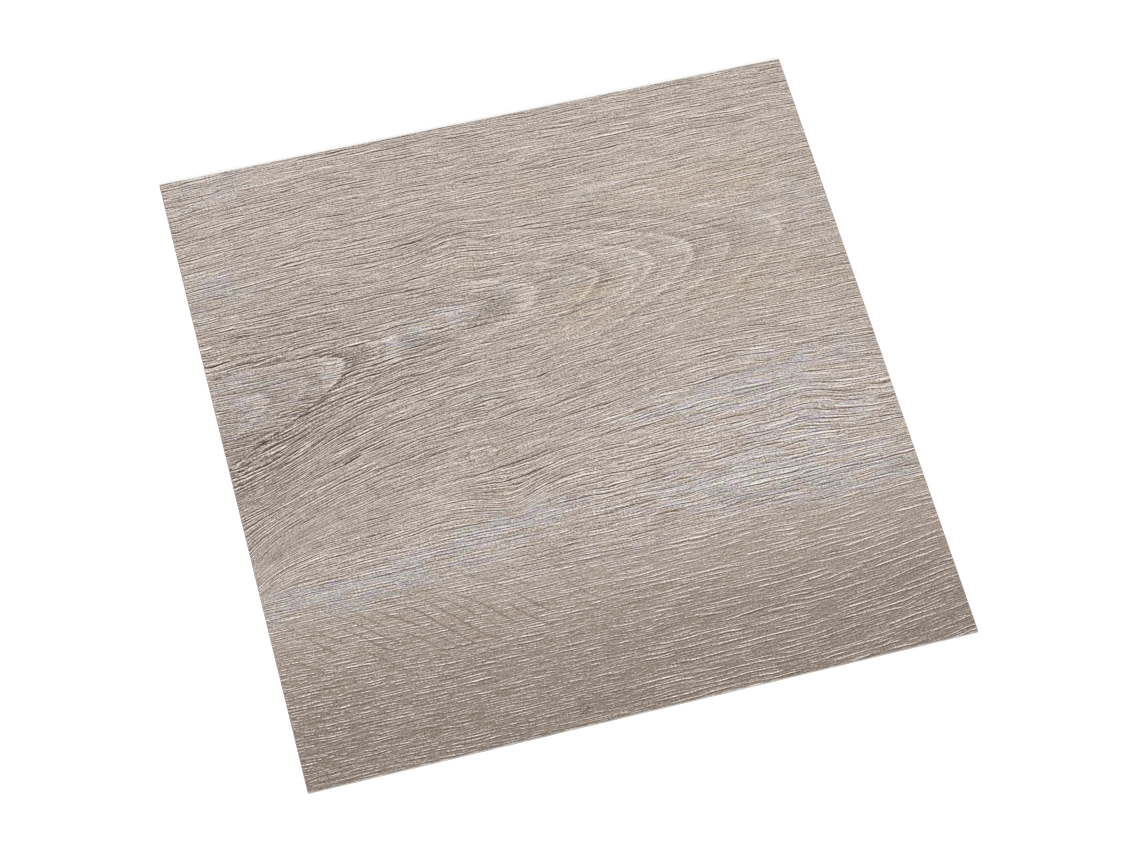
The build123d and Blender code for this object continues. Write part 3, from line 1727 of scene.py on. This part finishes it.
@dataclass(frozen=True)
class WoodColour:
    """The colours of the wood at each lightness, its cool haze, its frost and its warm streaks."""

    # how red the wood is at each lightness, and how each tint differs from that red
    wood_reds: tuple[tuple[float, float], ...] = (
        (0.20, 62.0),
        (0.40, 108.0),
        (0.55, 146.0),
        (0.70, 184.0),
        (0.85, 216.0),
        (1.00, 248.0),
    )
    browned: Tint = Tint(0.0, -16.9, -30.4)
    greyed: Tint = Tint(0.0, -11.1, -19.9)
    lavender: Tint = Tint(-5.0, -13.0, -2.0)
    pale_green: Tint = Tint(-6.0, -3.0, -7.0)
    orange: Tint = Tint(6.0, -22.0, -42.0)
    straw: Tint = Tint(0.0, -12.0, -46.0)
    # cool haze, on the loose place
    haze: tuple[Patch, ...] = (
        Patch((-132.0, 145.0), (26.0, 12.0), 0.8),
        Patch((-138.0, 92.0), (20.0, 14.0), 0.9),
        Patch((-138.0, 34.0), (26.0, 17.0), 0.9),
        Patch((-59.0, 46.5), (8.0, 5.5), 1.0),
        Patch((-40.0, 54.0), (18.0, 5.0), 1.2),
        Patch((-120.0, -68.0), (45.0, 8.0), 1.2),
        Patch((-65.0, -60.0), (35.0, 9.0), 1.0),
        Patch((-28.0, -50.0), (26.0, 8.0), 1.2),
        Patch((66.0, -15.0), (54.0, 9.0), 1.1),
        Patch((118.0, -4.0), (42.0, 9.0), 0.9),
        Patch((110.0, -36.0), (46.0, 14.0), 0.95),
        Patch((60.0, -56.0), (46.0, 12.0), 1.2),
        Patch((118.0, -66.0), (42.0, 11.0), 1.2),
        Patch((4.0, -78.0), (40.0, 6.0), 0.6),
        Patch((124.0, 70.0), (6.0, 9.0), 0.6),
        Patch((147.0, 70.0), (9.0, 18.0), 0.5),
        Patch((46.0, 104.0), (16.0, 2.0), 0.9),
    )
    # pale frost, on the near place
    frost: tuple[Patch, ...] = (
        Patch((-96.0, 41.0), (7.0, 6.0), 1.0),
        Patch((-101.0, 33.0), (7.0, 3.0), 0.7),
        Patch((-70.0, 44.0), (4.0, 7.0), 1.0),
        Patch((-14.0, 62.0), (12.0, 8.0), 0.6),
        Patch((-35.0, 8.0), (7.0, 5.0), 0.7),
        Patch((120.0, 76.0), (8.0, 9.0), 0.5),
        Patch((142.0, 82.0), (9.0, 7.0), 0.5),
        Patch((19.5, 61.0), (4.5, 4.0), 0.9),
        Patch((55.5, 63.0), (4.5, 4.0), 0.8),
        Patch((79.5, 64.5), (5.0, 4.0), 0.7),
        Patch((101.0, 61.0), (5.0, 3.5), 0.5),
    )
    # warm streaks, on the loose place
    warm: tuple[Patch, ...] = (
        Patch((8.0, 110.0), (26.0, 6.0), 0.8),
        Patch((102.0, 94.0), (46.0, 12.0), 1.0),
        Patch((26.0, 46.0), (12.0, 18.0), 1.0),
        Patch((112.0, 40.0), (34.0, 12.0), 0.9),
        Patch((-15.0, 78.0), (12.0, 6.0), 0.6),
        Patch((-150.0, 55.0), (8.0, 5.0), 0.9),
    )
    # the clouds that break up the haze and the frost, and how the haze's mask fills them
    cloud_cells: Cells = Cells(13.0, 4.6, 3.0)
    haze_fill: float = 0.12
    haze_edge: Slope = Slope(0.035, 0.08)
    frost_clouds: Slope = Slope(-0.05, 0.07, 0.15, 0.85)
    frost_on_arches: float = 1.2
    # the streaks that part the warm places, and where one cool or warm tint turns to the other
    streak_cells: Cells = Cells(18.0, 3.0, 1.0)
    streak_edge: Slope = Slope(-0.02, 0.08)
    side_cells: Cells = Cells(9.0, 4.0, 1.0)
    side_edge: Slope = Slope(-0.06, 0.06)
    # dark detail is browned and pale detail greyed
    detail_edge: Slope = Slope(-0.26, 0.26)
    # how much of the wood's own colour each tint takes over
    frost_share: float = 0.7
    haze_share: float = 0.57
    warm_share: float = 0.42

    def tinted(self, wires: PrintTree, lightness: Socket, tint: Tint) -> Socket:
        """Colours the wood in one tint.

        Args:
            wires: The wear face's tree.
            lightness: The wood's lightness.
            tint: The tint.

        Returns:
            The colour.
        """
        stops = [
            (at, tone(red + tint.red, red + tint.green, red + tint.blue))
            for at, red in self.wood_reds
        ]
        return wires.ramp(lightness, stops)

    def clouds(self, wires: PrintTree) -> Socket:
        """The noise that breaks up the haze and the frost."""
        return wires.spread(wires.place, self.cloud_cells)

    def hazed(self, wires: PrintTree, clouds: Socket) -> Socket:
        """Finds how much of the cool haze lies on a place.

        Args:
            wires: The wear face's tree.
            clouds: The noise that breaks the haze up.

        Returns:
            The share, from 0 to 1.
        """
        haze = wires.patches(wires.loose, self.haze)
        filled = wires.plus(clouds, wires.times(haze, self.haze_fill))
        return wires.times(haze, wires.sloped(filled, self.haze_edge), clamp=True)

    def colour(
        self,
        wires: PrintTree,
        lightness: Socket,
        detail: Socket,
        arches: Socket,
        haze: Socket,
        clouds: Socket,
    ) -> Socket:
        """Colours the wood, with cool haze, pale rings and warm streaks.

        Args:
            wires: The wear face's tree.
            lightness: The wood's lightness.
            detail: The part of the lightness that pores and fibres add.
            arches: The part that the rings add.
            haze: How much of the cool haze lies on the place.
            clouds: The noise that breaks the haze and the frost up.

        Returns:
            The colour.
        """
        browned, greyed, lavender, pale_green, orange, straw = (
            self.tinted(wires, lightness, tint)
            for tint in (
                self.browned,
                self.greyed,
                self.lavender,
                self.pale_green,
                self.orange,
                self.straw,
            )
        )
        side = wires.sloped(wires.spread(wires.place, self.side_cells), self.side_edge)
        cool = wires.blend(side, lavender, pale_green)
        hot = wires.blend(side, orange, straw)
        streaks = wires.sloped(wires.fibred(self.streak_cells), self.streak_edge)
        warm = wires.times(wires.patches(wires.loose, self.warm), streaks, clamp=True)
        splotches = wires.sloped(clouds, self.frost_clouds)
        frost = wires.times(wires.patches(wires.near, self.frost), splotches)
        frost = wires.plus(frost, wires.times(arches, self.frost_on_arches), clamp=True)
        colour = wires.blend(wires.sloped(detail, self.detail_edge), browned, greyed)
        colour = wires.blend(wires.times(frost, self.frost_share), colour, pale_green)
        colour = wires.blend(wires.times(haze, self.haze_share), colour, cool)
        return wires.blend(wires.times(warm, self.warm_share), colour, hot)


@dataclass(frozen=True)
class PrintedOak:
    """The printed film under its satin wear layer, with pores in register with the press."""

    figure: OakFigure
    pores: PorePrint = PorePrint()
    arches: ArchPrint = ArchPrint()
    marks: SmallMarks = SmallMarks()
    wood: WoodColour = WoodColour()
    roughness: float = 0.5
    thread_roughness: float = 0.25
    refraction: float = 1.45
    # the mean lightness, and what full haze adds to it
    lightness: float = 0.712
    haze_lift: float = 0.015
    # the fibres: long threads, finer ones and grit, and how much less of them shows in front
    thread_cells: Cells = Cells(28.0, 0.62, 1.0)
    fine_cells: Cells = Cells(3.0, 0.5, 1.0)
    streak_cells: Cells = Cells(90.0, 4.0, 2.0)
    thread_gain: Slope = Slope(-60.0, -88.0, 0.28, 0.14)
    streak_gain: Slope = Slope(-60.0, -88.0, 0.06, 0.05)
    ground_gain: Slope = Slope(-60.0, -88.0, 1.0, 0.6)
    fine_gain: float = 0.28
    grit_gain: float = 0.80
    check_gain: float = -0.20
    # the relief in millimetres: threads and fine fibres above and in front, pores and checks
    thread_relief: tuple[float, float] = (0.10, 0.04)
    fine_relief: tuple[float, float] = (0.07, 0.05)
    dark_relief: float = -0.07
    short_relief: float = -0.05
    check_relief: float = -0.08
    # places from front to back and the lightness of the band there, and the most it may be
    band_reach: float = 0.18
    bands: tuple[tuple[float, float], ...] = (
        (-152.5, -0.175),
        (-118.0, -0.150),
        (-92.0, -0.075),
        (-76.0, -0.030),
        (-55.0, 0.005),
        (0.0, 0.008),
        (60.0, 0.010),
        (110.0, 0.050),
        (152.5, 0.055),
    )
    # broad tones, on the loose place
    tones: tuple[Patch, ...] = (
        Patch((-140.0, -5.0), (45.0, 36.0), -0.095),
        Patch((-100.0, 64.0), (70.0, 9.0), -0.030),
        Patch((-27.0, -2.0), (12.0, 4.0), -0.030),
        Patch((90.0, -30.0), (70.0, 40.0), 0.030),
        Patch((-140.0, -95.0), (70.0, 18.0), -0.025),
        Patch((105.0, 60.0), (80.0, 70.0), 0.035),
        Patch((-78.0, 18.0), (42.0, 17.0), -0.040),
        Patch((-140.0, -138.0), (26.0, 24.0), -0.025),
        Patch((-70.0, -145.0), (80.0, 14.0), -0.015),
    )
    # small light and dark places, on the near place
    spots: tuple[Patch, ...] = (
        Patch((-128.0, 14.0), (16.0, 4.5), -0.040),
        Patch((-108.0, 24.0), (14.0, 4.0), -0.040),
        Patch((-79.0, 44.5), (8.0, 6.5), -0.140),
        Patch((-67.0, 46.5), (4.5, 6.5), 0.160),
        Patch((-72.0, 38.5), (6.0, 1.8), 0.080),
        Patch((-49.0, 43.0), (9.0, 2.4), -0.100),
        Patch((-96.0, 41.0), (4.0, 4.5), 0.090),
        Patch((-114.0, 41.0), (7.0, 3.0), -0.060),
        Patch((-104.0, 38.0), (4.5, 4.0), -0.100),
        Patch((-112.0, 47.0), (10.0, 1.8), 0.055),
        Patch((-121.0, 51.5), (8.0, 2.0), -0.100),
        Patch((-80.0, 31.0), (16.0, 4.0), -0.070),
        Patch((-118.0, 29.0), (6.0, 3.0), -0.060),
        Patch((-59.0, 45.0), (6.5, 8.0), -0.090),
        Patch((-118.0, 33.0), (9.0, 2.5), -0.040),
        Patch((-17.5, 53.0), (7.5, 6.5), -0.030),
        Patch((-1.0, 56.0), (5.0, 8.0), 0.070),
        Patch((-24.0, 66.5), (12.0, 2.6), 0.090),
        Patch((-9.0, 45.5), (7.0, 2.0), 0.100),
        Patch((-35.0, 56.0), (9.0, 1.6), 0.130),
        Patch((-52.0, 53.0), (8.0, 3.0), 0.060),
        Patch((46.0, 104.0), (14.0, 1.4), 0.110),
        Patch((124.0, 69.0), (6.0, 8.0), 0.030),
        Patch((142.0, 78.0), (9.0, 5.0), 0.020),
        Patch((115.0, -45.0), (5.0, 3.5), 0.040),
        Patch((-26.5, -145.0), (1.1, 2.2), -0.180),
        Patch((-4.0, -146.5), (1.0, 1.8), -0.150),
    )
    # thin dark cracks along the fibres
    checks: tuple[Patch, ...] = (
        Patch((-33.0, -24.8), (27.0, 0.40), 2.2),
        Patch((-24.0, -31.5), (13.0, 0.35), 0.5),
        Patch((-52.0, 98.0), (18.0, 0.40), 1.2),
        Patch((-45.0, 94.5), (20.0, 0.40), 1.3),
        Patch((-36.0, 91.0), (22.0, 0.40), 1.2),
        Patch((-40.0, 87.5), (18.0, 0.38), 1.0),
        Patch((-12.0, 96.0), (16.0, 0.38), 0.9),
        Patch((-98.0, 106.5), (14.0, 0.35), 0.9),
        Patch((-120.0, 53.5), (34.0, 0.40), 0.5),
        Patch((-130.0, 67.5), (18.0, 0.35), 0.9),
        Patch((118.0, -27.0), (13.0, 0.35), 0.5),
        Patch((104.0, 66.0), (17.0, 0.35), 0.8),
        Patch((96.0, -102.0), (20.0, 0.35), 0.6),
        Patch((-62.0, -8.0), (22.0, 0.38), 0.7),
        Patch((-95.0, 6.0), (24.0, 0.38), 0.6),
        Patch((24.0, 121.0), (14.0, 0.35), 0.9),
    )
    # where threads and pores are fainter, or stronger for an amount below 0
    quiet: tuple[Patch, ...] = (
        Patch((18.0, 34.0), (40.0, 16.0), 0.35),
        Patch((-38.0, -14.0), (16.0, 9.0), 0.35),
        Patch((-40.0, -16.4), (6.5, 3.2), 0.35),
        Patch((-45.0, -54.0), (36.0, 9.0), 0.55),
        Patch((-105.0, -68.0), (55.0, 9.0), 0.45),
        Patch((-120.0, 19.0), (22.0, 6.0), 0.35),
        Patch((-143.0, 1.0), (13.0, 10.0), 0.45),
        Patch((95.0, 62.0), (60.0, 34.0), 0.20),
        Patch((-112.0, -10.0), (42.0, 30.0), -0.35),
        Patch((-70.0, 18.0), (50.0, 14.0), -0.30),
    )

    def detail(self, wires: PrintTree, thread: Socket, fine: Socket, checks: Socket) -> Socket:
        """Adds up all that is finer than the tones and the rings.

        Args:
            wires: The wear face's tree.
            thread: The long threads.
            fine: The finer fibres.
            checks: The mask of the cracks.

        Returns:
            The lightness that the detail adds.
        """
        # the pores come with painted shade and painted highlight at their front edges
        pores, flecks = self.pores.lightness(wires)
        streaks = wires.fibred(self.streak_cells)
        threads = wires.total(
            [
                wires.times(streaks, wires.sloped(wires.across, self.streak_gain)),
                wires.times(thread, wires.sloped(wires.across, self.thread_gain)),
                pores,
            ]
        )
        hushed = wires.minus(1.0, wires.patches(wires.near, self.quiet))
        ground = wires.plus(
            wires.times(fine, self.fine_gain), wires.times(wires.grit, self.grit_gain)
        )
        return wires.total(
            [
                wires.times(threads, hushed),
                wires.times(ground, wires.sloped(wires.across, self.ground_gain)),
                self.marks.lightness(wires),
                wires.times(checks, self.check_gain),
                flecks,
            ]
        )

    def height(self, wires: PrintTree, thread: Socket, fine: Socket, checks: Socket) -> Socket:
        """Adds up the relief that is too fine for the mesh.

        Args:
            wires: The wear face's tree.
            thread: The long threads.
            fine: The finer fibres.
            checks: The mask of the cracks.

        Returns:
            The height, in millimetres.
        """
        return wires.total(
            [
                wires.times(thread, wires.between(wires.lower, *self.thread_relief)),
                wires.times(fine, wires.between(wires.lower, *self.fine_relief)),
                wires.times(wires.strokes(PoreLayer.DARK), self.dark_relief),
                wires.times(wires.strokes(PoreLayer.SHORT), self.short_relief),
                wires.times(checks, self.check_relief),
            ]
        )

    def material(self) -> bpy.types.Material:
        """Builds the material.

        Returns:
            The material of the wear face.
        """
        material = blank_material("printed_oak_film")
        wires = PrintTree(material.node_tree, self.figure)
        thread = wires.fibred(self.thread_cells)
        fine = wires.fibred(self.fine_cells)
        checks = wires.patches(wires.fibre, self.checks)
        arches = self.arches.lightness(wires)
        clouds = self.wood.clouds(wires)
        haze = self.wood.hazed(wires, clouds)
        detail = self.detail(wires, thread, fine, checks)
        base = wires.total(
            [
                self.lightness,
                wires.levels(wires.across, list(self.bands), self.band_reach),
                wires.patches(wires.loose, self.tones),
                wires.patches(wires.near, self.spots),
                wires.times(haze, self.haze_lift),
                arches,
            ]
        )
        lightness = wires.plus(base, detail)
        colour = self.wood.colour(wires, lightness, detail, arches, haze, clouds)
        roughness = wires.plus(wires.times(thread, self.thread_roughness), self.roughness)
        height = self.height(wires, thread, fine, checks)
        shader = wires.put("ShaderNodeBsdfPrincipled")
        wires.feed(shader.inputs["Base Color"], colour)
        wires.feed(shader.inputs["Roughness"], roughness)
        wires.feed(shader.inputs["Normal"], wires.bumped(height, 1.0, MM))
        shader.inputs["IOR"].default_value = self.refraction
        wires.show(shader)
        return material


@dataclass(frozen=True)
class FilledBody:
    """The chalk-filled vinyl that shows at the cut edges and underneath."""

    roughness: float = 0.6
    dark: tuple[float, float, float] = (148.0, 144.0, 140.0)
    light: tuple[float, float, float] = (174.0, 170.0, 166.0)
    # the clouds and the specks of chalk: cells to a metre, finer octaves, and share of the mix
    clouds: tuple[float, float, float] = (160.0, 5.0, 0.6)
    specks: tuple[float, float, float] = (2600.0, 1.0, 0.4)
    contrast: Slope = Slope(0.35, 0.65)
    bump_strength: float = 0.6
    bump_height: float = 0.02

    def material(self) -> bpy.types.Material:
        """Builds the material.

        Returns:
            The material of the edges and the underside.
        """
        material = blank_material("filled_vinyl_body")
        wires = Wiring(material.node_tree)
        where = wires.put("ShaderNodeTexCoord").outputs["Object"]
        grains = []
        shares = []
        for scale, detail, share in (self.clouds, self.specks):
            noise = wires.put("ShaderNodeTexNoise")
            wires.feed(noise.inputs["Vector"], where)
            wires.feed(noise.inputs["Scale"], scale)
            wires.feed(noise.inputs["Detail"], detail)
            grains.append(noise.outputs[0])
            shares.append(wires.times(noise.outputs[0], share))
        mix = wires.sloped(wires.total(shares), self.contrast)
        normal = wires.bumped(grains[1], self.bump_strength, self.bump_height * MM)
        shader = wires.put("ShaderNodeBsdfPrincipled")
        wires.feed(shader.inputs["Base Color"], wires.blend(mix, tone(*self.dark), tone(*self.light)))
        wires.feed(shader.inputs["Normal"], normal)
        shader.inputs["Roughness"].default_value = self.roughness
        wires.show(shader)
        return material


@dataclass(frozen=True)
class VinylTile:
    """The whole tile: one pressed sheet, printed on its wear face."""

    name: str = "embossed_oak_sheet"
    node: str = "vinyl_tile"
    slot: str = "embossed_vinyl"

    def build(self) -> bpy.types.Object:
        """Builds the sheet, presses and prints it, and puts it in the CAD frame.

        Returns:
            The finished piece.
        """
        figure = OakFigure()
        sheet = TileSheet(FibreLines()).build(self.name)
        printed = PrintedOak(figure).material()
        body = FilledBody().material()
        Embossing(figure).press(sheet, printed, body)
        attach(sheet, "root")
        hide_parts(self.node)
        return sheet


@dataclass(frozen=True)
class Studio:
    """The pale floor, the soft light and the camera."""

    floor_side: float = 6.0
    floor_opening: float = 0.3046
    floor_colour: float = 0.35
    floor_glow: float = 0.80
    sky: float = 0.38
    lamp_place: tuple[float, float, float] = (-0.45, -2.0, 1.35)
    lamp_size: tuple[float, float] = (1.8, 0.5)
    lamp_power: float = 62.0
    camera_place: tuple[float, float, float] = (-0.21277, -0.51715, 1.18973)
    camera_aim: tuple[float, float, float] = (0.00183, -0.01338, 0.0015)
    camera_roll: float = 8.565
    camera_lens: float = 90.894
    sensor_width: float = 36.0
    clip_start: float = 0.05

    @staticmethod
    def seen_directly(wires: Wiring) -> Socket:
        """Tells the rays that show the background from those that light the tile.

        Args:
            wires: The tree of a material or of the world.

        Returns:
            1 where a ray comes from the camera, a mirror or glass, and 0 elsewhere.
        """
        rays = wires.put("ShaderNodeLightPath").outputs
        shown = wires.math("MAXIMUM", rays["Is Camera Ray"], rays["Is Glossy Ray"])
        return wires.math("MAXIMUM", shown, rays["Is Transmission Ray"])

    def floor_material(self) -> bpy.types.Material:
        """Builds the floor's material: matt, white where it is seen, and clear from below.

        Returns:
            The material.
        """
        material = blank_material("white_floor")
        wires = Wiring(material.node_tree)
        matte = wires.put("ShaderNodeBsdfDiffuse")
        shade = (self.floor_colour, self.floor_colour, self.floor_colour, 1.0)
        wires.feed(matte.inputs["Color"], shade)
        glow = wires.put("ShaderNodeEmission")
        wires.feed(glow.inputs["Color"], WHITE)
        wires.feed(glow.inputs["Strength"], wires.times(self.seen_directly(wires), self.floor_glow))
        both = wires.put("ShaderNodeAddShader")
        wires.feed(both.inputs[0], matte.outputs[0])
        wires.feed(both.inputs[1], glow.outputs[0])
        shown = wires.put("ShaderNodeMixShader")
        wires.feed(shown.inputs[0], wires.put("ShaderNodeNewGeometry").outputs["Backfacing"])
        wires.feed(shown.inputs[1], both.outputs[0])
        wires.feed(shown.inputs[2], wires.put("ShaderNodeBsdfTransparent").outputs[0])
        wires.show(shown)
        return material

    def floor(self) -> bpy.types.Object:
        """Builds the floor, open under the tile so that the underside shows from below.

        Returns:
            The floor, at the level of the tile's underside.
        """
        signs = ((-1.0, -1.0), (1.0, -1.0), (1.0, 1.0), (-1.0, 1.0))
        corners = [
            (x * side / 2.0, y * side / 2.0, 0.0)
            for side in (self.floor_side, self.floor_opening)
            for x, y in signs
        ]
        count = len(signs)
        strips = [
            (k, (k + 1) % count, count + (k + 1) % count, count + k) for k in range(count)
        ]
        mesh = bpy.data.meshes.new("studio_floor")
        mesh.from_pydata(corners, [], strips)
        mesh.materials.append(self.floor_material())
        floor = placed("studio_floor", mesh)
        return floor

    def world(self) -> None:
        """Lights the scene evenly, with a white background where it is seen."""
        world = bpy.data.worlds.new("studio")
        bpy.context.scene.world = world
        world.use_nodes = True
        world.node_tree.nodes.clear()
        wires = Wiring(world.node_tree)
        background = wires.put("ShaderNodeBackground")
        wires.feed(background.inputs["Color"], WHITE)
        seen = self.seen_directly(wires)
        wires.feed(background.inputs["Strength"], wires.between(seen, self.sky, 1.0))
        wires.show(background, "ShaderNodeOutputWorld")

    def lamp(self) -> bpy.types.Object:
        """Hangs the soft strip light in front, low enough to rake the pores.

        Returns:
            The lamp.
        """
        light = bpy.data.lights.new("strip_light", "AREA")
        light.shape = "RECTANGLE"
        light.size, light.size_y = self.lamp_size
        light.energy = self.lamp_power
        lamp = placed("strip_light", light)
        lamp.location = self.lamp_place
        lamp.rotation_euler = (-Vector(self.lamp_place)).to_track_quat("-Z", "Y").to_euler()
        return lamp

    def camera(self) -> bpy.types.Object:
        """Stands the camera where the photograph was taken from.

        Returns:
            The camera, made the scene's own.
        """
        lens = bpy.data.cameras.new("photo_camera")
        lens.lens = self.camera_lens
        lens.sensor_width = self.sensor_width
        lens.clip_start = self.clip_start
        camera = placed("photo_camera", lens)
        place = Vector(self.camera_place)
        forward = (Vector(self.camera_aim) - place).normalized()
        level = forward.cross(Vector((0.0, 0.0, 1.0))).normalized()
        upright = level.cross(forward)
        turn = math.radians(self.camera_roll)
        right = math.cos(turn) * level + math.sin(turn) * upright
        up = right.cross(forward)
        axes = Matrix((right, up, -forward)).transposed()
        camera.matrix_world = Matrix.Translation(place) @ axes.to_4x4()
        bpy.context.scene.camera = camera
        return camera


def main() -> None:
    """Builds the studio and the tile, and reports each piece."""
    logging.basicConfig(level=logging.INFO, format="%(name)s: %(message)s")
    bpy.context.scene.view_settings.view_transform = "Standard"
    studio = Studio()
    studio.world()
    for piece in (studio.floor(), studio.lamp(), studio.camera()):
        log.info("%s is in place", piece.name)
    tile = VinylTile().build()
    log.info("%s has %d faces", tile.name, len(tile.data.polygons))


if __name__ == "__main__":
    main()
